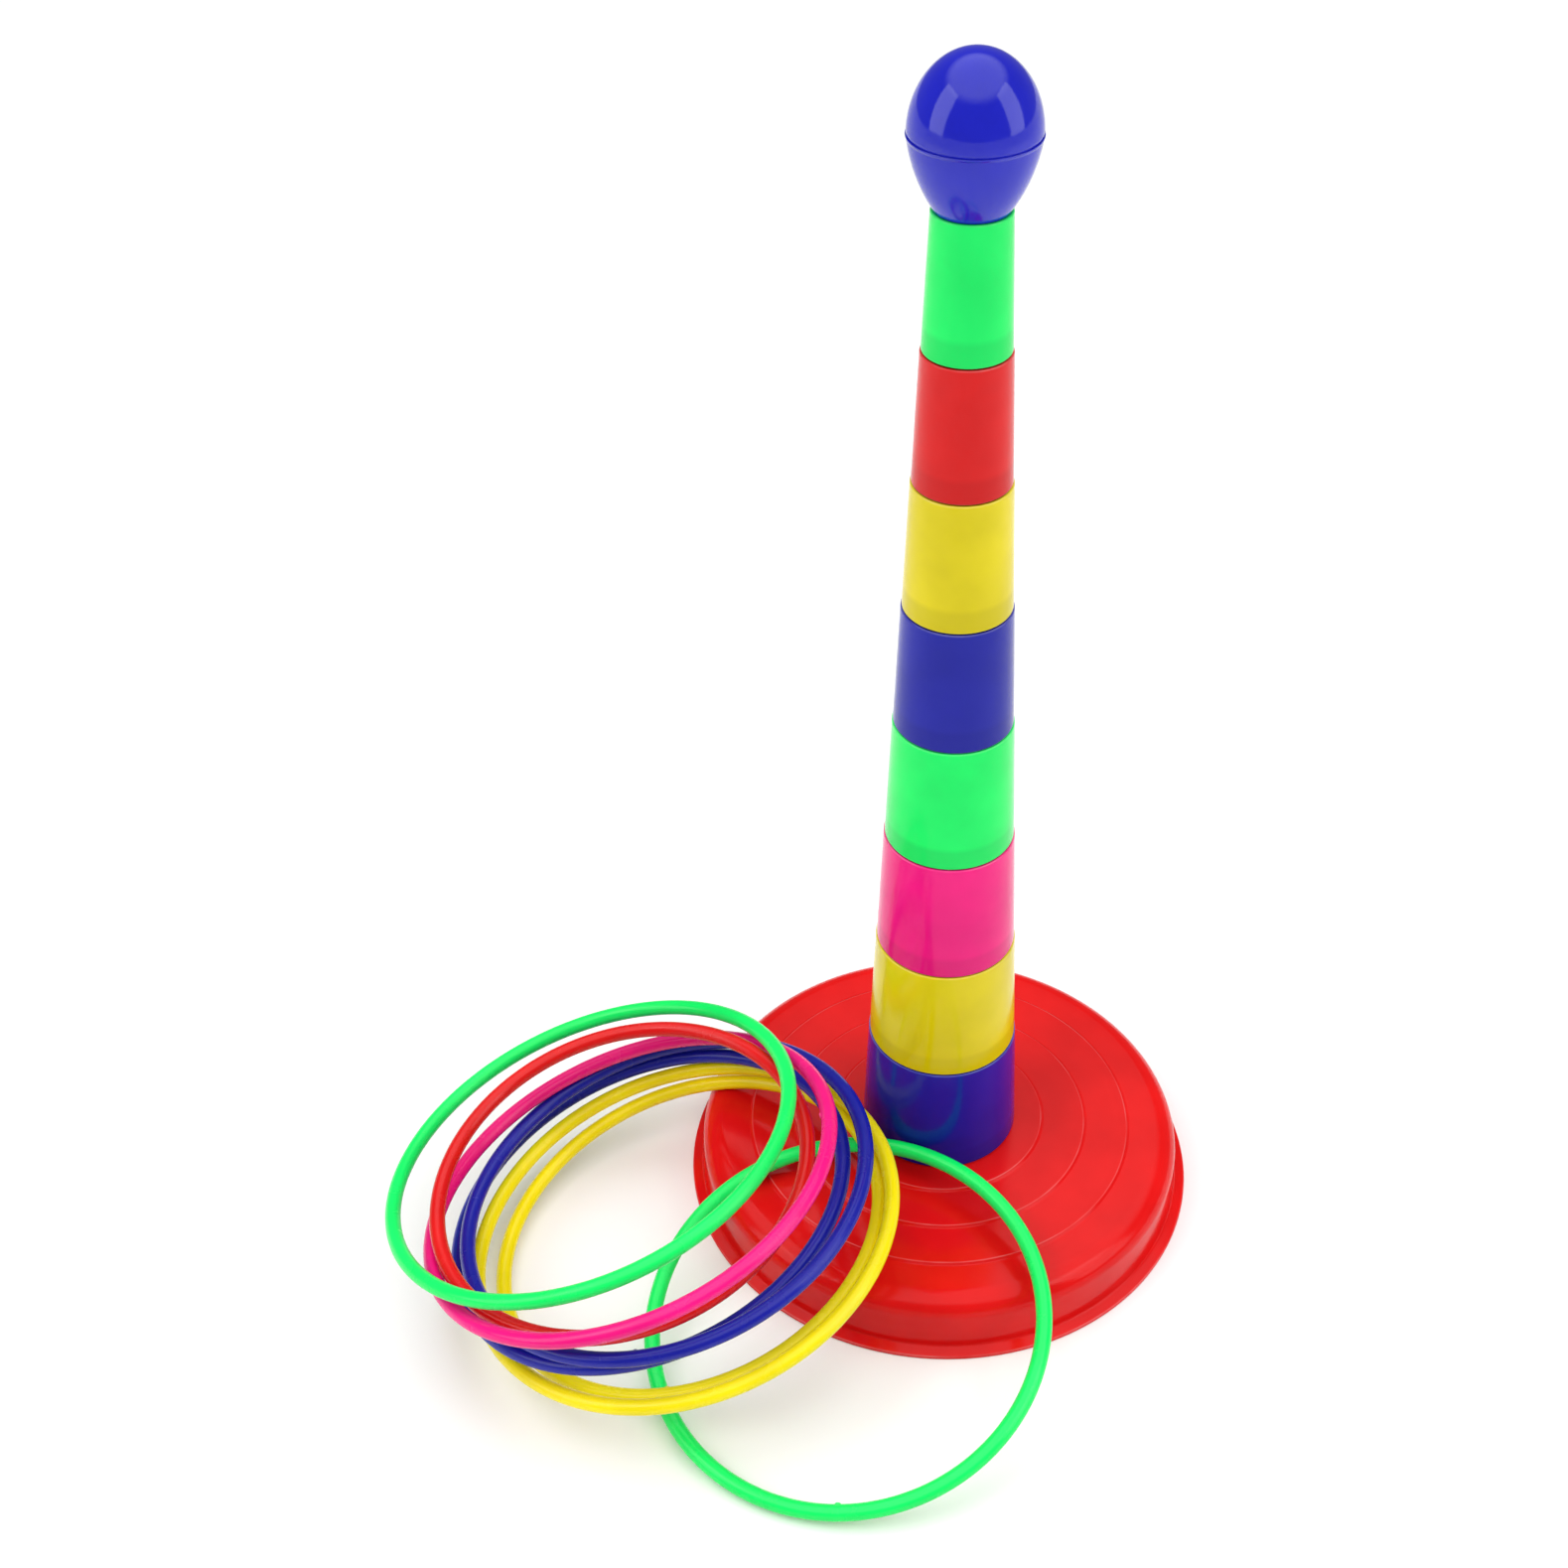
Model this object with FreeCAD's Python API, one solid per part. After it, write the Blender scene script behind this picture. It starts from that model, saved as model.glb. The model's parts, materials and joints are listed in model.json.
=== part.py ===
import FreeCAD, Part
import os
from math import pi, sqrt

# Ring toss set: a round base, a tapering column of eight plugged-together
# sections, an egg-shaped bulb on top and eight throwing rings heaped on the
# left of the base. Millimetres, +Z up, origin at the centre of the base's
# underside, column axis along Z, thrower's side towards -Y.

# Base: a round shell, open beneath, with three low terraces on its top
flange_radius = 75.0
flange_thickness = 2.2
skirt_foot_radius = 71.9
shoulder_radius = 71.2
shoulder_height = 12.6
top_edge_radius = 64.6
terrace_radii = [57.0, 44.2, 31.4]
terrace_rise = 0.7
terrace_slope = 0.35
column_seat = 20.7
base_wall = 1.8

# Column sections, lowest first
section_heights = [37.0, 36.5, 37.5, 37.5, 35.5, 35.5, 34.5, 34.0]
column_foot_radius = 22.9
column_top_radius = 9.3
section_wall = 1.4
section_ledge = 0.25
edge_break = 0.35
neck_height = 6.5
neck_clearance = 0.3

# Bulb on top of the column: a bowl with a socket, and a dome that snaps on it
bulb_foot_radius = 8.6
bulb_waist_radius = 12.95
bulb_waist_rise = 8.6
bulb_equator_radius = 14.9
bulb_equator_rise = 17.1
bulb_dome_rise = 18.2
bulb_wall = 1.3
bulb_flash = 0.3
bulb_flash_height = 0.7
socket_depth = 10.0
socket_root_rise = 2.2
snap_height = 2.0
snap_clearance = 0.25
snap_wall = 1.0

# Throwing rings, lowest in the heap first. Each has a bar bent to a radius and
# lies at its own centre with its plane tipped, so that the high side points
# along an azimuth from +X. It is spun in its plane, which places the small
# mark left by the mould gate.
ring_bar_radius = 2.2
gate_mark_radius = 0.9
ring_poses = {
    # name: (radius, centre, tilt, azimuth, spin), angles in degrees
    "ring_green_low": (54.7, (-23.5, -74.7, 16.0), 13.9, 60.4, -150.0),
    "ring_yellow_low": (56.4, (-70.0, -49.2, 19.5), 15.1, 1.5, -91.0),
    "ring_yellow_high": (60.8, (-71.3, -52.9, 25.6), 13.0, -0.2, -90.0),
    "ring_blue_low": (57.7, (-81.4, -48.1, 29.5), 16.5, -6.6, -83.0),
    "ring_blue_high": (58.7, (-76.4, -48.9, 35.8), 14.8, -6.1, -84.0),
    "ring_pink": (59.1, (-85.5, -53.4, 45.0), 19.7, -19.2, 30.0),
    "ring_red": (53.4, (-87.9, -51.5, 44.5), 11.7, 16.1, -106.0),
    "ring_green_top": (59.4, (-98.1, -42.5, 46.0), 18.9, -19.7, -70.0),
}

section_names = ["section_" + str(number + 1) for number in range(len(section_heights))]


def point(radius, height):
    """A point of a turned outline, drawn in the XZ plane."""
    return FreeCAD.Vector(radius, 0, height)


def straight(corners):
    """The straight stretches that join the corners in order."""
    return [Part.makeLine(point(*a), point(*b)) for a, b in zip(corners, corners[1:])]


def round_stretch(start, middle, end):
    """A round stretch of a turned outline through three points."""
    return [Part.Arc(point(*start), point(*middle), point(*end)).toShape()]


def turned(edges):
    """A solid of revolution about the column axis from a closed outline."""
    return Part.Face(Part.Wire(edges)).revolve(point(0, 0), FreeCAD.Vector(0, 0, 1), 360)


def column_radius(height):
    """Outer radius of the column's overall taper at a height."""
    share = (height - column_seat) / sum(section_heights)
    return column_foot_radius + share * (column_top_radius - column_foot_radius)


def neck_radii(seat):
    """Outer radius of a neck at its root and its tip, to plug into what stands on the seat."""
    if seat < seams[-1]:
        margin = section_ledge + section_wall + neck_clearance
        return column_radius(seat) - margin, column_radius(seat + neck_height) - margin
    return [bulb_foot_radius - bulb_wall - neck_clearance] * 2


def neck(seat, underside):
    """Corners of a neck that rises from a seat, up its outside and down its bore."""
    root, tip = neck_radii(seat)
    return [
        (root, seat),
        (tip - edge_break, seat + neck_height),
        (tip - section_wall, seat + neck_height),
        (root - section_wall, underside),
    ]


def base():
    """Round base shell: lip, skirt, rounded shoulder, terraced top and central neck."""
    lowest_top = column_seat - terrace_rise * len(terrace_radii)
    underside = lowest_top - base_wall
    drop = lowest_top - shoulder_height
    reach = shoulder_radius - top_edge_radius
    bulge = sqrt(0.5)
    outside_middle = (top_edge_radius + reach * bulge, shoulder_height + drop * bulge)
    inside_middle = (outside_middle[0] - base_wall * bulge, outside_middle[1] - base_wall * bulge)
    inner_skirt = skirt_foot_radius - base_wall
    inner_shoulder = (shoulder_radius - base_wall, shoulder_height)
    inner_edge = (top_edge_radius, underside)
    edges = straight([
        (inner_skirt, 0),
        (flange_radius, 0),
        (flange_radius, flange_thickness / 2),
        (skirt_foot_radius, flange_thickness),
        (shoulder_radius, shoulder_height),
    ])
    edges += round_stretch(
        (shoulder_radius, shoulder_height), outside_middle, (top_edge_radius, lowest_top)
    )
    corners = [(top_edge_radius, lowest_top)]
    for step, radius in enumerate(terrace_radii):
        height = lowest_top + step * terrace_rise
        corners += [(radius, height), (radius - terrace_slope, height + terrace_rise)]
    corners += neck(column_seat, underside)
    corners += [inner_edge]
    edges += straight(corners)
    edges += round_stretch(inner_edge, inside_middle, inner_shoulder)
    edges += straight([inner_shoulder, (inner_skirt, 0)])
    return turned(edges)


def section(foot, head):
    """One column section: a tapering shell with a shoulder and a plug-in neck."""
    foot_radius = column_radius(foot) - section_ledge
    head_radius = column_radius(head)
    start = (foot_radius - section_wall, foot)
    corners = [
        start,
        (foot_radius - edge_break, foot),
        (foot_radius, foot + edge_break),
        (head_radius, head - edge_break),
        (head_radius - edge_break, head),
    ]
    corners += neck(head, head - section_wall)
    corners += [(head_radius - section_wall, head - section_wall), start]
    return turned(straight(corners))


def bulb_bowl():
    """Lower half of the bulb: bowl, socket for the top section's neck, rim and snap ring."""
    foot = seams[-1]
    equator = foot + bulb_equator_rise
    waist_height = foot + bulb_waist_rise
    flash_foot = equator - bulb_flash_height
    bore = bulb_foot_radius - bulb_wall
    snap_radius = bulb_equator_radius - bulb_wall - snap_clearance
    inner_rim = snap_radius - snap_wall
    inner_waist = (bulb_waist_radius - bulb_wall, waist_height)
    socket_root = (bulb_foot_radius, foot + socket_root_rise)
    edges = straight([(bore, foot), (bulb_foot_radius, foot)])
    edges += round_stretch(
        (bulb_foot_radius, foot), (bulb_waist_radius, waist_height), (bulb_equator_radius, flash_foot)
    )
    edges += straight([
        (bulb_equator_radius, flash_foot),
        (bulb_equator_radius + bulb_flash, flash_foot),
        (bulb_equator_radius + bulb_flash, equator),
        (snap_radius, equator),
        (snap_radius, equator + snap_height),
        (inner_rim, equator + snap_height),
        (inner_rim, flash_foot),
    ])
    edges += round_stretch((inner_rim, flash_foot), inner_waist, socket_root)
    edges += straight([
        socket_root,
        (bulb_foot_radius, foot + socket_depth),
        (bore, foot + socket_depth),
        (bore, foot),
    ])
    return turned(edges)


def dome_curve(radius, rise, equator):
    """Quarter ellipse of the dome, from its top to its rim."""
    ellipse = Part.Ellipse(point(0, equator + rise), point(radius, equator), point(0, equator))
    return Part.ArcOfEllipse(ellipse, 0, pi / 2).toShape()


def bulb_dome():
    """Upper half of the bulb: a thin egg-shaped dome."""
    equator = seams[-1] + bulb_equator_rise
    inner_radius = bulb_equator_radius - bulb_wall
    inner_rise = bulb_dome_rise - bulb_wall
    edges = [
        dome_curve(bulb_equator_radius, bulb_dome_rise, equator),
        dome_curve(inner_radius, inner_rise, equator),
    ]
    edges += straight([(bulb_equator_radius, equator), (inner_radius, equator)])
    edges += straight([(0, equator + inner_rise), (0, equator + bulb_dome_rise)])
    return turned(Part.__sortEdges__(edges))


def ring(radius, centre, tilt, azimuth, spin):
    """One throwing ring with its gate mark, lying at its place in the heap."""
    gate = FreeCAD.Vector(radius - ring_bar_radius, 0, 0)
    moulding = Part.makeTorus(radius, ring_bar_radius).fuse(Part.makeSphere(gate_mark_radius, gate))
    turn = FreeCAD.Rotation(FreeCAD.Vector(0, 0, 1), azimuth)
    tip = FreeCAD.Rotation(FreeCAD.Vector(0, -1, 0), tilt)
    roll = FreeCAD.Rotation(FreeCAD.Vector(0, 0, 1), spin)
    moulding.Placement = FreeCAD.Placement(FreeCAD.Vector(*centre), turn * tip * roll)
    return moulding


seams = [column_seat]
for section_height in section_heights:
    seams.append(seams[-1] + section_height)

pieces = {"base": base(), "bulb_bowl": bulb_bowl(), "bulb_dome": bulb_dome()}
for name, foot, head in zip(section_names, seams, seams[1:]):
    pieces[name] = section(foot, head)
for name, pose in ring_poses.items():
    pieces[name] = ring(*pose)

os.makedirs("parts", exist_ok=True)
for name, piece in pieces.items():
    piece.exportStep("parts/" + name + ".step")
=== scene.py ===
import json
from math import atan2, cos, hypot, pi, radians, sin

import bmesh
import bpy
import numpy
from mathutils import Matrix, Vector


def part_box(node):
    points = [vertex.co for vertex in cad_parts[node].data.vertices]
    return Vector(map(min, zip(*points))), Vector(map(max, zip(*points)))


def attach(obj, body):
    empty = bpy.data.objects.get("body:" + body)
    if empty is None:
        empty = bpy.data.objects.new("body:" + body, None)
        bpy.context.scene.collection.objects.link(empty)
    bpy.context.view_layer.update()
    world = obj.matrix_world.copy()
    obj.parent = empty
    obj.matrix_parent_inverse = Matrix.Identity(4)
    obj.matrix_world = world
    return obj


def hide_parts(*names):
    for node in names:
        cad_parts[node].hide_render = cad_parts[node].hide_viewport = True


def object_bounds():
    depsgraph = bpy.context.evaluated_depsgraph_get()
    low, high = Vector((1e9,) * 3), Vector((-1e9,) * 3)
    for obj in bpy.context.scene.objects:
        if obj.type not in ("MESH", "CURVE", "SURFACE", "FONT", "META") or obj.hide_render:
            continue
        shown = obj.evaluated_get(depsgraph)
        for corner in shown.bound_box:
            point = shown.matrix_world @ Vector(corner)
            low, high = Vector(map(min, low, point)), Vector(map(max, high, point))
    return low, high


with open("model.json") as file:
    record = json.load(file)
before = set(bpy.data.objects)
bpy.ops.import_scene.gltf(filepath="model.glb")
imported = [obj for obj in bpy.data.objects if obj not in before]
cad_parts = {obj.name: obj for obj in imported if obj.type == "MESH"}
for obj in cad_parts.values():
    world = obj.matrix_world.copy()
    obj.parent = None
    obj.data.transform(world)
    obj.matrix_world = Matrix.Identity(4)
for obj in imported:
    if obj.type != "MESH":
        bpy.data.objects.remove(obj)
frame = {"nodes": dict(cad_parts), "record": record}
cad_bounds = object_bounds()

# Ring toss set, in metres: a red base, a tapering column of coloured plug-together
# sections, an egg-shaped bulb and a heap of throwing rings on the base's left.

MM = 0.001
TURN_STEPS = 192

# Mouldings
EDGE_ROUNDING = 0.45 * MM
FINE_ROUNDING = 0.25 * MM
ROUNDING_STEPS = 5
LONGEST_SHARE = 0.4
FRAME_SHARE = 0.2
SECTION_WALL = 1.4 * MM
SECTION_LEDGE = 0.25 * MM
SEAM_GAP = 0.38 * MM
SEAM_LAND = 0.9 * MM
FOOT_ROUNDING = 0.28 * MM
NECK_HEIGHT = 6.5 * MM
NECK_CLEARANCE = 0.3 * MM
NECK_MARGIN = SECTION_LEDGE + SECTION_WALL + NECK_CLEARANCE
BASE_WALL = 1.8 * MM
FLANGE_THICKNESS = 2.2 * MM
SKIRT_FOOT_INSET = 3.1 * MM
SHOULDER_INSET = 3.8 * MM
SHOULDER_HEIGHT = 12.6 * MM
TOP_EDGE_INSET = 10.4 * MM
TERRACE_INSETS = [18.0 * MM, 30.8 * MM, 43.6 * MM]
TERRACE_RISE = 0.7 * MM
TERRACE_SLOPE = 0.75 * MM
TERRACE_ROUNDING = 0.25 * MM
BULB_FOOT_RADIUS = 8.6 * MM
BULB_WAIST_RADIUS = 12.95 * MM
BULB_WAIST_RISE = 8.6 * MM
BULB_FLASH = 0.14 * MM
BULB_FLASH_HEIGHT = 0.3 * MM
BULB_WALL = 1.3 * MM
FLASH_ROUNDING = 0.08 * MM
SOCKET_DEPTH = 10.0 * MM
SOCKET_ROOT_RISE = 2.2 * MM
SNAP_CLEARANCE = 0.25 * MM
SNAP_WALL = 1.0 * MM
CURVE_STEPS = 28
RING_BAR_RADIUS = 2.2 * MM
RING_BAR_STEPS = 28
RING_TURN_STEPS = 256
PARTING_RIDGE = 0.07 * MM
RIDGE_SHARPNESS = 24
RIM_TOLERANCE = 0.02 * MM
GATE_RADIUS = 0.9 * MM
GATE_HEIGHT = 0.35 * MM

# Plastic: what dye, wear, painted edge highlights and painted shade make of its colour
DEEP_DYE = 0.84
PALE_DYE = 1.03
PALE_LIFT = 0.002
# Paler outer edges, partly wear and partly a painted highlight
WORN_AND_GLINT_DYE = 0.75
WORN_AND_GLINT_LIFT = 0.2
# A painted shade band where a neck is plugged in behind the wall
BAND_SHADE = 0.72
BAND_STRENGTH = 0.55
BAND_SOFTNESS = 0.12
# Painted shade in crevices and seams
PAINTED_CREVICE_SHADE = 0.25
SECTION_CREVICE_SHADE = 0.9
CREVICE_REACH = 1.2 * MM
CREVICE_SAMPLES = 8
CREVICE_OPEN = (0.1, 0.5)
EDGE_WEAR_AND_GLINT = 0.5

# Plastic: unevenness, each as a noise's scale and detail
DYE_NOISE = (38, 3)
WEAR_AND_GLINT_NOISE = (90, 4)
RUB_NOISE = (130, 5)
SKIN_NOISE = (620, 2)

# Plastic: the part of a noise's range that is used, and what it is stretched to
DYE_SPREAD = (0.3, 0.7, 0, 1)
WEAR_AND_GLINT_SPREAD = (0.35, 0.65, 0.25, 1)
RUB_RANGE = (0.35, 0.75)
RUB_SMOOTHEST = 0.8
RUB_ROUGHEST = 1.5

# Plastic: skin and depth
SKIN_STRENGTH = 0.25
SKIN_DEPTH = 0.04 * MM
GLOW_WEIGHT = 0.06
GLOW_REACH = 1.5 * MM
GLOW_SPREAD = (1, 0.8, 0.6)

# Roughness and shine of each kind of piece
BASE_FINISH = (0.13, 0.15)
SECTION_FINISH = (0.13, 0.22)
BULB_FINISH = (0.09, 0.42)
RING_FINISH = (0.22, 0.3)

# Sockets of the colour mix node
MIX_SHARE = 0
MIX_FIRST = 6
MIX_SECOND = 7
MIX_RESULT = 2

# Studio
FLOOR_SPAN = 12
FLOOR_COLOUR = (0.9, 0.9, 0.9)
FLOOR_ROUGHNESS = 0.9
FLOOR_SHINE = 0.1
SOFTBOX_PLACES = {
    "left_softbox": (-1.0, -0.42, 0.75),
    "right_softbox": (1.04, -0.3, 0.75),
}
SOFTBOX_WIDTH = 0.65
SOFTBOX_HEIGHT = 1.1
SOFTBOX_POWER = 5.5
CEILING_START = 0.64
CEILING_FULL = 0.78
CEILING_STRENGTH = 1.9
WALL_STRENGTH = 0.25
CAMERA_PLACE = (0, -0.4491, 0.5083)
CAMERA_HEADING = -5.65
CAMERA_PITCH = 38.83
CAMERA_ROLL = -1.42
CAMERA_LENS = 49.755

# Which colour each column section has, lowest first
SECTION_COLOURS = ["blue", "yellow", "pink", "green", "blue", "yellow", "red", "green"]

# Plastic colours, linear; the yellow rings get a lighter copy of the section yellow, painted light
# that lifts their shading
COLOURS = {
    "red": (0.72, 0.005, 0.005),
    "blue": (0.008, 0.012, 0.36),
    "yellow": (0.76, 0.63, 0.002),
    "pink": (0.90, 0.005, 0.22),
    "green": (0.004, 0.90, 0.14),
    "bulb": (0.008, 0.012, 0.50),
    "ring_yellow": (0.95, 0.80, 0.002),
}

nodes = frame["nodes"]
section_names = ["section_" + str(number + 1) for number in range(len(SECTION_COLOURS))]
ring_names = [name for name in nodes if name.startswith("ring_")]


# Mesh tools


def rounded(corners):
    """Outline points (radius, height, wear_and_glint) of a path whose corners are (radius, height,
    rounding). Each rounding is framed by two close points, which keep the flat faces beside it
    shaded flat. The path runs anticlockwise, so a left turn is an outer edge, which is marked
    paler, partly as wear and partly as a painted highlight."""
    points = []
    for before, corner, after in zip(corners[-1:] + corners[:-1], corners, corners[1:] + corners[:1]):
        here = Vector(corner[:2])
        if not corner[2]:
            points.append((*here, 0))
            continue
        to_before = Vector(before[:2]) - here
        to_after = Vector(after[:2]) - here
        wear_and_glint = float(to_after.cross(to_before) > 0)
        start = here + to_before * min(corner[2] / to_before.length, LONGEST_SHARE)
        end = here + to_after * min(corner[2] / to_after.length, LONGEST_SHARE)
        points.append((*start + (start - here) * FRAME_SHARE, 0))
        for step in range(ROUNDING_STEPS + 1):
            share = step / ROUNDING_STEPS
            curve = start.lerp(here, share).lerp(here.lerp(end, share), share)
            points.append((*curve, wear_and_glint * sin(pi * share)))
        points.append((*end + (end - here) * FRAME_SHARE, 0))
    return points


def quarter(centre, reach):
    """Points of a quarter ellipse about a centre, from its side up to its top."""
    angles = [pi / 2 * step / CURVE_STEPS for step in range(CURVE_STEPS + 1)]
    return [(centre[0] + reach[0] * cos(a), centre[1] + reach[1] * sin(a), 0) for a in angles]


def arc(start, middle, end):
    """Points of the round stretch from a start to an end through a middle point."""
    ax, ay = middle[0] - start[0], middle[1] - start[1]
    bx, by = end[0] - start[0], end[1] - start[1]
    cross = 2 * (ax * by - ay * bx)
    first, second = ax * ax + ay * ay, bx * bx + by * by
    across = (by * first - ay * second) / cross
    along = (ax * second - bx * first) / cross
    radius = hypot(across, along)
    from_angle = atan2(-along, -across)
    turn = atan2(by - along, bx - across) - from_angle
    turn = (turn + pi) % (2 * pi) - pi
    centre = (start[0] + across, start[1] + along)
    angles = [from_angle + turn * step / CURVE_STEPS for step in range(CURVE_STEPS + 1)]
    return [(centre[0] + radius * cos(a), centre[1] + radius * sin(a), 0) for a in angles]


def turned(mesh, points):
    """Turns a closed outline of (radius, height, wear_and_glint) points about the Z axis into a mesh.
    """
    worn_and_glint = mesh.verts.layers.float.new("worn_and_glint")
    loops = []
    for radius, height, wear_and_glint in points:
        steps = TURN_STEPS if radius > RIM_TOLERANCE else 1
        loop = []
        for step in range(steps):
            angle = 2 * pi * step / TURN_STEPS
            vertex = mesh.verts.new((radius * cos(angle), radius * sin(angle), height))
            vertex[worn_and_glint] = wear_and_glint
            loop.append(vertex)
        loops.append(loop * (TURN_STEPS // steps))
    for low, high in zip(loops, loops[1:] + loops[:1]):
        for step in range(TURN_STEPS):
            beside = (step + 1) % TURN_STEPS
            face = [low[step], low[beside], high[beside], high[step]]
            unique = list(dict.fromkeys(face))
            if len(unique) > 2:
                mesh.faces.new(unique)


def piece(name, mesh, material, node):
    """A finished piece that stands for a CAD node and rides on its body."""
    bmesh.ops.recalc_face_normals(mesh, faces=mesh.faces)
    data = bpy.data.meshes.new(name)
    mesh.to_mesh(data)
    mesh.free()
    data.polygons.foreach_set("use_smooth", [True] * len(data.polygons))
    data.materials.append(material)
    made = bpy.data.objects.new(name, data)
    bpy.context.scene.collection.objects.link(made)
    bodies = frame["record"]["behaviour"]["bodies"]
    body = next(key for key, members in bodies.items() if node in members)
    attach(made, body)
    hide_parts(node)
    return made


# Materials


def node_of(tree, kind, **settings):
    """Adds a shader node and sets its properties."""
    made = tree.nodes.new(kind)
    for key, value in settings.items():
        setattr(made, key, value)
    return made


def noise(tree, place, grain):
    """Noise over a place vector, with a grain of (scale, detail)."""
    made = node_of(tree, "ShaderNodeTexNoise")
    made.inputs["Scale"].default_value, made.inputs["Detail"].default_value = grain
    tree.links.new(place, made.inputs["Vector"])
    return made.outputs["Fac"]


def ranged(tree, value, low, high, to_low, to_high):
    """Maps a value from one range to another, clamped."""
    made = node_of(tree, "ShaderNodeMapRange")
    limits = {"From Min": low, "From Max": high, "To Min": to_low, "To Max": to_high}
    for key, number in limits.items():
        made.inputs[key].default_value = number
    tree.links.new(value, made.inputs["Value"])
    return made.outputs["Result"]


def mixed(tree, share, first, second):
    """Mixes two colours by a share."""
    made = node_of(tree, "ShaderNodeMix", data_type="RGBA")
    tree.links.new(share, made.inputs[MIX_SHARE])
    for socket, colour in ((made.inputs[MIX_FIRST], first), (made.inputs[MIX_SECOND], second)):
        if isinstance(colour, tuple):
            socket.default_value = (*colour, 1)
        else:
            tree.links.new(colour, socket)
    return made.outputs[MIX_RESULT]


def plastic(name, colour, finish, crevice_shade=0.0, shaded=(0, 0)):
    """Glossy moulded plastic: uneven dye, orange-peel skin, rubbed patches and paler outer edges,
    partly wear and partly a painted highlight, with some share of painted shade in its crevices.
    The finish is (roughness, shine). Between the two shaded heights, where a neck is plugged in,
    the colour is darkened as a painted shade band."""
    roughness, shine = finish
    material = bpy.data.materials.new(name)
    material.use_nodes = True
    tree = material.node_tree
    shader = tree.nodes["Principled BSDF"]
    place = node_of(tree, "ShaderNodeTexCoord").outputs["Object"]

    deep = tuple(channel * DEEP_DYE for channel in colour)
    pale = tuple(channel * PALE_DYE + PALE_LIFT for channel in colour)
    worn_and_glint = tuple(channel * WORN_AND_GLINT_DYE + WORN_AND_GLINT_LIFT for channel in colour)
    band_shade_colour = tuple(channel * BAND_SHADE for channel in colour)
    crevice_shade_colour = tuple(channel * PAINTED_CREVICE_SHADE for channel in colour)
    surface_colour = mixed(tree, ranged(tree, noise(tree, place, DYE_NOISE), *DYE_SPREAD), deep, pale)
    # Painted shade: a darker band where a neck is plugged in behind the wall
    if shaded[1] > shaded[0]:
        heights = node_of(tree, "ShaderNodeSeparateXYZ")
        tree.links.new(place, heights.inputs[0])
        soft = (shaded[1] - shaded[0]) * BAND_SOFTNESS
        top = (shaded[1] - soft, shaded[1] + soft)
        band = ranged(tree, heights.outputs["Z"], *top, BAND_STRENGTH, 0)
        surface_colour = mixed(tree, band, surface_colour, band_shade_colour)
    # Painted highlight: outer edges are mixed paler, partly as wear and partly as a painted highlight
    # where rounded edges catch light
    edges = node_of(tree, "ShaderNodeAttribute", attribute_name="worn_and_glint").outputs["Fac"]
    patchy = ranged(tree, noise(tree, place, WEAR_AND_GLINT_NOISE), *WEAR_AND_GLINT_SPREAD)
    worn_and_glinting_edges = node_of(tree, "ShaderNodeMath", operation="MULTIPLY")
    tree.links.new(edges, worn_and_glinting_edges.inputs[0])
    tree.links.new(patchy, worn_and_glinting_edges.inputs[1])
    surface_colour = mixed(tree, ranged(tree, worn_and_glinting_edges.outputs[0], 0, 1, 0, EDGE_WEAR_AND_GLINT), surface_colour, worn_and_glint)
    # Painted shade: an occlusion mask darkens the colour in crevices and seams
    crevice = node_of(tree, "ShaderNodeAmbientOcclusion", samples=CREVICE_SAMPLES)
    crevice.inputs["Distance"].default_value = CREVICE_REACH
    surface_colour = mixed(tree, ranged(tree, crevice.outputs["AO"], *CREVICE_OPEN, crevice_shade, 0), surface_colour, crevice_shade_colour)
    tree.links.new(surface_colour, shader.inputs["Base Color"])

    patches = noise(tree, place, RUB_NOISE)
    roughnesses = (roughness * RUB_SMOOTHEST, roughness * RUB_ROUGHEST)
    rubbed = ranged(tree, patches, *RUB_RANGE, *roughnesses)
    tree.links.new(rubbed, shader.inputs["Roughness"])
    skin = node_of(tree, "ShaderNodeBump")
    skin.inputs["Strength"].default_value = SKIN_STRENGTH
    skin.inputs["Distance"].default_value = SKIN_DEPTH
    tree.links.new(noise(tree, place, SKIN_NOISE), skin.inputs["Height"])
    tree.links.new(skin.outputs["Normal"], shader.inputs["Normal"])
    shader.inputs["Subsurface Weight"].default_value = GLOW_WEIGHT
    shader.inputs["Subsurface Scale"].default_value = GLOW_REACH
    shader.inputs["Subsurface Radius"].default_value = GLOW_SPREAD
    shader.inputs["Specular IOR Level"].default_value = shine
    return material


# Base and column


def column_radius(height):
    """Outer radius of the column's overall taper at a height, read from its sections."""
    first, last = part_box(section_names[0]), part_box(section_names[-1])
    share = (height - first[0].z) / (last[0].z - first[0].z)
    return first[1].x + share * (last[1].x - first[1].x) + SECTION_LEDGE


def neck(seat, underside):
    """Corners of a neck that rises from a seat, up its outside and down its bore."""
    root = column_radius(seat) - NECK_MARGIN
    tip = column_radius(seat + NECK_HEIGHT) - NECK_MARGIN
    if seat + NECK_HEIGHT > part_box("bulb_bowl")[0].z:
        root = tip = BULB_FOOT_RADIUS - BULB_WALL - NECK_CLEARANCE
    return [
        (root, seat, FINE_ROUNDING),
        (tip, seat + NECK_HEIGHT, EDGE_ROUNDING),
        (tip - SECTION_WALL, seat + NECK_HEIGHT, FINE_ROUNDING),
        (root - SECTION_WALL, underside, FINE_ROUNDING),
    ]


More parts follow.
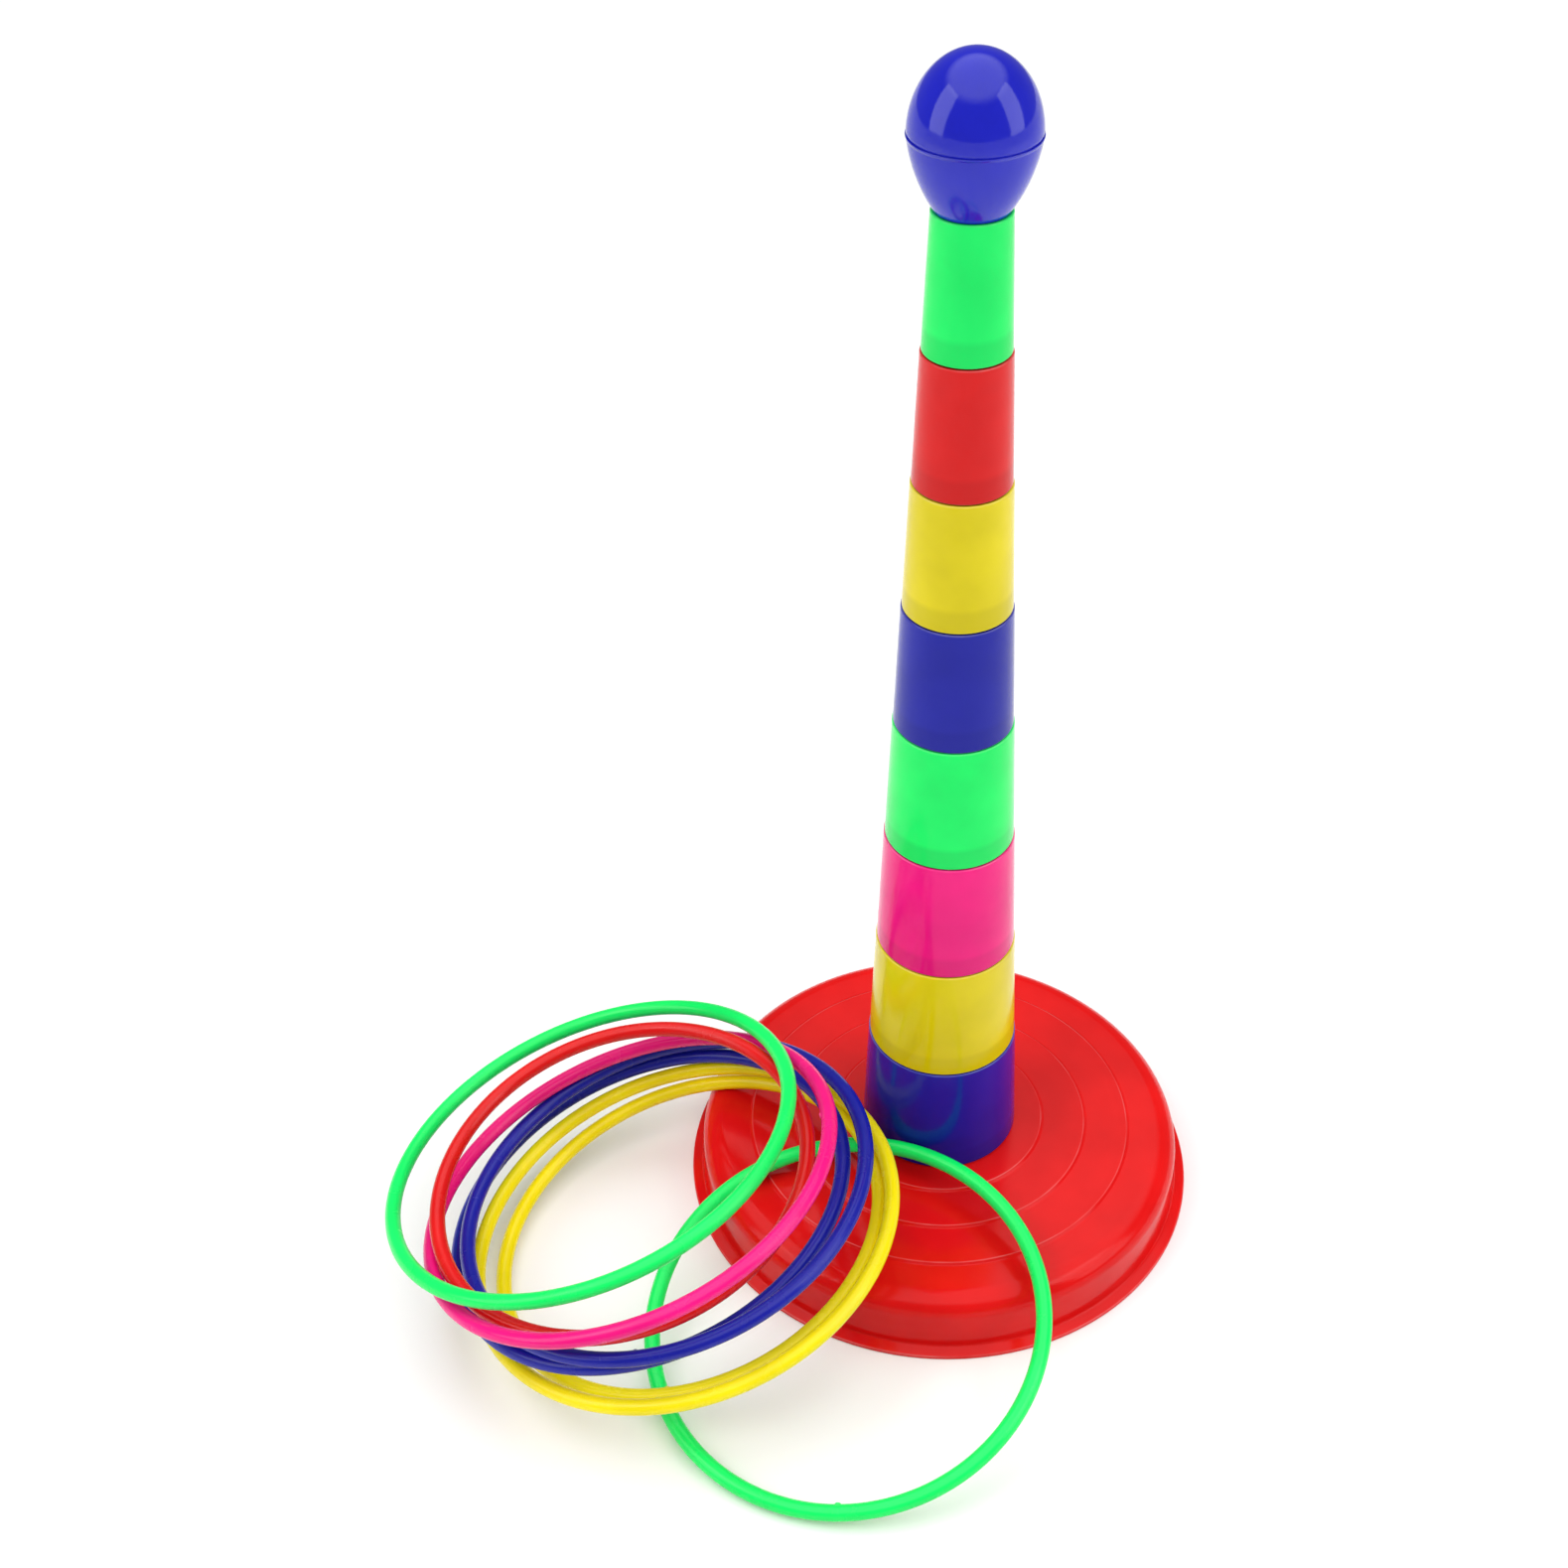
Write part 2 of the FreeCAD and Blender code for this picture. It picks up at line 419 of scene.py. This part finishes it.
def make_base(material):
    """Base shell with its lip, sloping skirt, rounded shoulder, terraces and neck."""
    low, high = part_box("base")
    flange = high.x
    seat = high.z - NECK_HEIGHT
    lowest_top = seat - TERRACE_RISE * len(TERRACE_INSETS)
    underside = lowest_top - BASE_WALL
    skirt_foot = flange - SKIRT_FOOT_INSET
    top_edge = flange - TOP_EDGE_INSET
    reach = (TOP_EDGE_INSET - SHOULDER_INSET, lowest_top - SHOULDER_HEIGHT)
    corners = [
        (skirt_foot - BASE_WALL, low.z, FINE_ROUNDING),
        (flange, low.z, EDGE_ROUNDING),
        (flange, low.z + FLANGE_THICKNESS / 2, EDGE_ROUNDING),
        (skirt_foot, low.z + FLANGE_THICKNESS, EDGE_ROUNDING),
    ]
    corners += quarter((top_edge, SHOULDER_HEIGHT), reach)
    for step, inset in enumerate(TERRACE_INSETS):
        height = lowest_top + step * TERRACE_RISE
        corners.append((flange - inset, height, TERRACE_ROUNDING))
        corners.append((flange - inset - TERRACE_SLOPE, height + TERRACE_RISE, TERRACE_ROUNDING))
    corners += neck(seat, underside)
    inner_reach = (reach[0] - BASE_WALL, reach[1] - BASE_WALL)
    corners += reversed(quarter((top_edge, SHOULDER_HEIGHT), inner_reach))
    mesh = bmesh.new()
    turned(mesh, rounded(corners))
    return piece("base_shell", mesh, material, "base")


def make_section(name, material):
    """Column section: a tapering shell, open at its foot, with a shoulder and a neck."""
    low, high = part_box(name)
    foot, head = low.z, high.z - NECK_HEIGHT
    head_radius = column_radius(head)
    corners = [
        (high.x - SECTION_WALL, foot, FINE_ROUNDING),
        (high.x - SEAM_LAND, foot, 0),
        (high.x - SEAM_LAND, foot + SEAM_GAP, 0),
        (high.x, foot + SEAM_GAP, FOOT_ROUNDING),
        (head_radius, head, EDGE_ROUNDING),
    ]
    corners += neck(head, head - SECTION_WALL)
    corners.append((head_radius - SECTION_WALL, head - SECTION_WALL, FINE_ROUNDING))
    mesh = bmesh.new()
    turned(mesh, rounded(corners))
    return piece(name + "_shell", mesh, material, name)


# Bulb


def make_bulb_bowl(material):
    """Lower half of the bulb: bowl with a socket, a thin flash at its rim and a snap ring."""
    low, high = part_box("bulb_bowl")
    foot = low.z
    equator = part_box("bulb_dome")[0].z
    equator_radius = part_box("bulb_dome")[1].x
    flash_foot = equator - BULB_FLASH_HEIGHT
    bore = BULB_FOOT_RADIUS - BULB_WALL
    snap_radius = equator_radius - BULB_WALL - SNAP_CLEARANCE
    inner_rim = snap_radius - SNAP_WALL
    waist = (BULB_WAIST_RADIUS, foot + BULB_WAIST_RISE)
    inner_waist = (BULB_WAIST_RADIUS - BULB_WALL, foot + BULB_WAIST_RISE)
    corners = [(bore, foot, FINE_ROUNDING), (BULB_FOOT_RADIUS, foot, EDGE_ROUNDING)]
    corners += arc((BULB_FOOT_RADIUS, foot), waist, (equator_radius, flash_foot))[1:]
    corners += [
        (equator_radius + BULB_FLASH, flash_foot, FLASH_ROUNDING),
        (equator_radius + BULB_FLASH, equator, FLASH_ROUNDING),
        (snap_radius, equator, 0),
        (snap_radius, high.z, FINE_ROUNDING),
        (inner_rim, high.z, FINE_ROUNDING),
    ]
    socket_root = (BULB_FOOT_RADIUS, foot + SOCKET_ROOT_RISE)
    corners += arc((inner_rim, flash_foot), inner_waist, socket_root)
    corners += [
        (BULB_FOOT_RADIUS, foot + SOCKET_DEPTH, FINE_ROUNDING),
        (bore, foot + SOCKET_DEPTH, FINE_ROUNDING),
    ]
    mesh = bmesh.new()
    turned(mesh, rounded(corners))
    return piece("bulb_bowl_shell", mesh, material, "bulb_bowl")


def make_bulb_dome(material):
    """Upper half of the bulb: a thin egg-shaped dome."""
    low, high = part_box("bulb_dome")
    rise = high.z - low.z
    outside = quarter((0, low.z), (high.x, rise))
    inside = quarter((0, low.z), (high.x - BULB_WALL, rise - BULB_WALL))
    mesh = bmesh.new()
    turned(mesh, rounded(outside + inside[::-1]))
    return piece("bulb_dome_shell", mesh, material, "bulb_dome")


# Rings


def ring_pose(name):
    """Radius of the bar's centre line, and the ring's place as a matrix whose X axis points
    at the gate mark and whose Z axis is the ring's own."""
    mesh = nodes[name].data
    points = numpy.empty(len(mesh.vertices) * 3)
    mesh.vertices.foreach_get("co", points)
    points = points.reshape(-1, 3)
    low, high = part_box(name)
    centre = (low + high) / 2
    spokes = points - numpy.array(centre)
    reach = numpy.linalg.norm(spokes, axis=1)
    rim = spokes[reach > reach.max() - RIM_TOLERANCE]
    axis = Vector(numpy.linalg.svd(rim, full_matrices=False)[2][2])
    gate = Vector(spokes[reach.argmin()])
    gate = (gate - axis * gate.dot(axis)).normalized()
    turn = Matrix((gate, axis.cross(gate), axis)).transposed()
    return float(reach.max()) - RING_BAR_RADIUS, Matrix.Translation(centre) @ turn.to_4x4()


def make_ring(name, material):
    """Throwing ring: a round bar with a faint ridge along its mould line and a gate mark."""
    radius, pose = ring_pose(name)
    mesh = bmesh.new()
    loops = []
    for step in range(RING_TURN_STEPS):
        turn = 2 * pi * step / RING_TURN_STEPS
        loop = []
        for bar_step in range(RING_BAR_STEPS):
            angle = 2 * pi * bar_step / RING_BAR_STEPS
            bar = RING_BAR_RADIUS + PARTING_RIDGE * abs(cos(angle)) ** RIDGE_SHARPNESS
            out = radius + bar * cos(angle)
            loop.append(mesh.verts.new((out * cos(turn), out * sin(turn), bar * sin(angle))))
        loops.append(loop)
    for loop, ahead in zip(loops, loops[1:] + loops[:1]):
        for here in range(RING_BAR_STEPS):
            beside = (here + 1) % RING_BAR_STEPS
            mesh.faces.new([loop[here], ahead[here], ahead[beside], loop[beside]])
    gate = bmesh.new()
    turned(gate, rounded([
        (0, -GATE_RADIUS, 0),
        (GATE_RADIUS, -GATE_RADIUS, 0),
        (GATE_RADIUS, GATE_HEIGHT, EDGE_ROUNDING),
        (0, GATE_HEIGHT, 0),
    ]))
    inner_edge = Matrix.Translation((radius - RING_BAR_RADIUS, 0, 0))
    gate.transform(inner_edge @ Matrix.Rotation(-pi / 2, 4, "Y"))
    mark = bpy.data.meshes.new(name + "_gate")
    gate.to_mesh(mark)
    gate.free()
    mesh.from_mesh(mark)
    mesh.transform(pose)
    return piece(name + "_bar", mesh, material, name)


# Everything in its place

make_base(plastic("red_base_plastic", COLOURS["red"], BASE_FINISH))
for name, colour in zip(section_names, SECTION_COLOURS):
    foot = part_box(name)[0].z
    # Painted shade band over the neck plugged into this section's foot
    neck_shade_span = (foot, foot + NECK_HEIGHT)
    dye = COLOURS[colour]
    # Sections also get painted shade in their crevices and seams
    make_section(name, plastic(name + "_plastic", dye, SECTION_FINISH, SECTION_CREVICE_SHADE, neck_shade_span))
bulb_plastic = plastic("bulb_plastic", COLOURS["bulb"], BULB_FINISH)
make_bulb_bowl(bulb_plastic)
make_bulb_dome(bulb_plastic)
for name in ring_names:
    colour = name.split("_")[1]
    # Yellow rings get a lighter copy of the yellow: painted light
    ring_colour = COLOURS.get("ring_" + colour, COLOURS[colour])
    make_ring(name, plastic(name + "_plastic", ring_colour, RING_FINISH))


# Studio


def studio_floor():
    """Plain pale floor under everything."""
    low, high = cad_bounds
    half = (high - low).length * FLOOR_SPAN
    mesh = bpy.data.meshes.new("studio_floor")
    corners = [(-half, -half), (half, -half), (half, half), (-half, half)]
    mesh.from_pydata([(x, y, low.z) for x, y in corners], [], [(0, 1, 2, 3)])
    material = bpy.data.materials.new("studio_floor")
    material.use_nodes = True
    shader = material.node_tree.nodes["Principled BSDF"]
    shader.inputs["Base Color"].default_value = (*FLOOR_COLOUR, 1)
    shader.inputs["Roughness"].default_value = FLOOR_ROUGHNESS
    shader.inputs["Specular IOR Level"].default_value = FLOOR_SHINE
    mesh.materials.append(material)
    floor = bpy.data.objects.new("studio_floor", mesh)
    bpy.context.scene.collection.objects.link(floor)


def soft_light(name, place):
    """Soft light box, aimed at the middle of the set."""
    light = bpy.data.lights.new(name, "AREA")
    light.shape = "RECTANGLE"
    light.size = SOFTBOX_WIDTH
    light.size_y = SOFTBOX_HEIGHT
    light.energy = SOFTBOX_POWER
    made = bpy.data.objects.new(name, light)
    made.location = place
    aim = (cad_bounds[0] + cad_bounds[1]) / 2 - Vector(place)
    made.rotation_euler = aim.to_track_quat("-Z", "Y").to_euler()
    bpy.context.scene.collection.objects.link(made)


def studio_sky():
    """White surroundings: a bright ceiling over dim walls, with a soft edge between them."""
    world = bpy.data.worlds.new("studio_sky")
    world.use_nodes = True
    tree = world.node_tree
    heights = node_of(tree, "ShaderNodeSeparateXYZ")
    tree.links.new(node_of(tree, "ShaderNodeTexCoord").outputs["Generated"], heights.inputs[0])
    edge = (CEILING_START, CEILING_FULL)
    strength = ranged(tree, heights.outputs["Z"], *edge, WALL_STRENGTH, CEILING_STRENGTH)
    tree.links.new(strength, tree.nodes["Background"].inputs["Strength"])
    tree.nodes["Background"].inputs["Color"].default_value = (1, 1, 1, 1)
    bpy.context.scene.world = world


def camera():
    """Camera at its place, turned by its heading, tipped down by its pitch and rolled."""
    heading, pitch, roll = radians(CAMERA_HEADING), radians(CAMERA_PITCH), radians(CAMERA_ROLL)
    forward = Vector((sin(heading) * cos(pitch), cos(heading) * cos(pitch), -sin(pitch)))
    side = forward.cross(Vector((0, 0, 1))).normalized()
    above = side.cross(forward)
    right = side * cos(roll) + above * sin(roll)
    up = above * cos(roll) - side * sin(roll)
    view = bpy.data.cameras.new("view")
    view.lens = CAMERA_LENS
    made = bpy.data.objects.new("view", view)
    turn = Matrix((right, up, -forward)).transposed().to_4x4()
    made.matrix_world = Matrix.Translation(CAMERA_PLACE) @ turn
    bpy.context.scene.collection.objects.link(made)
    bpy.context.scene.camera = made


studio_floor()
for name, place in SOFTBOX_PLACES.items():
    soft_light(name, place)
studio_sky()
bpy.context.scene.view_settings.view_transform = "Standard"
camera()
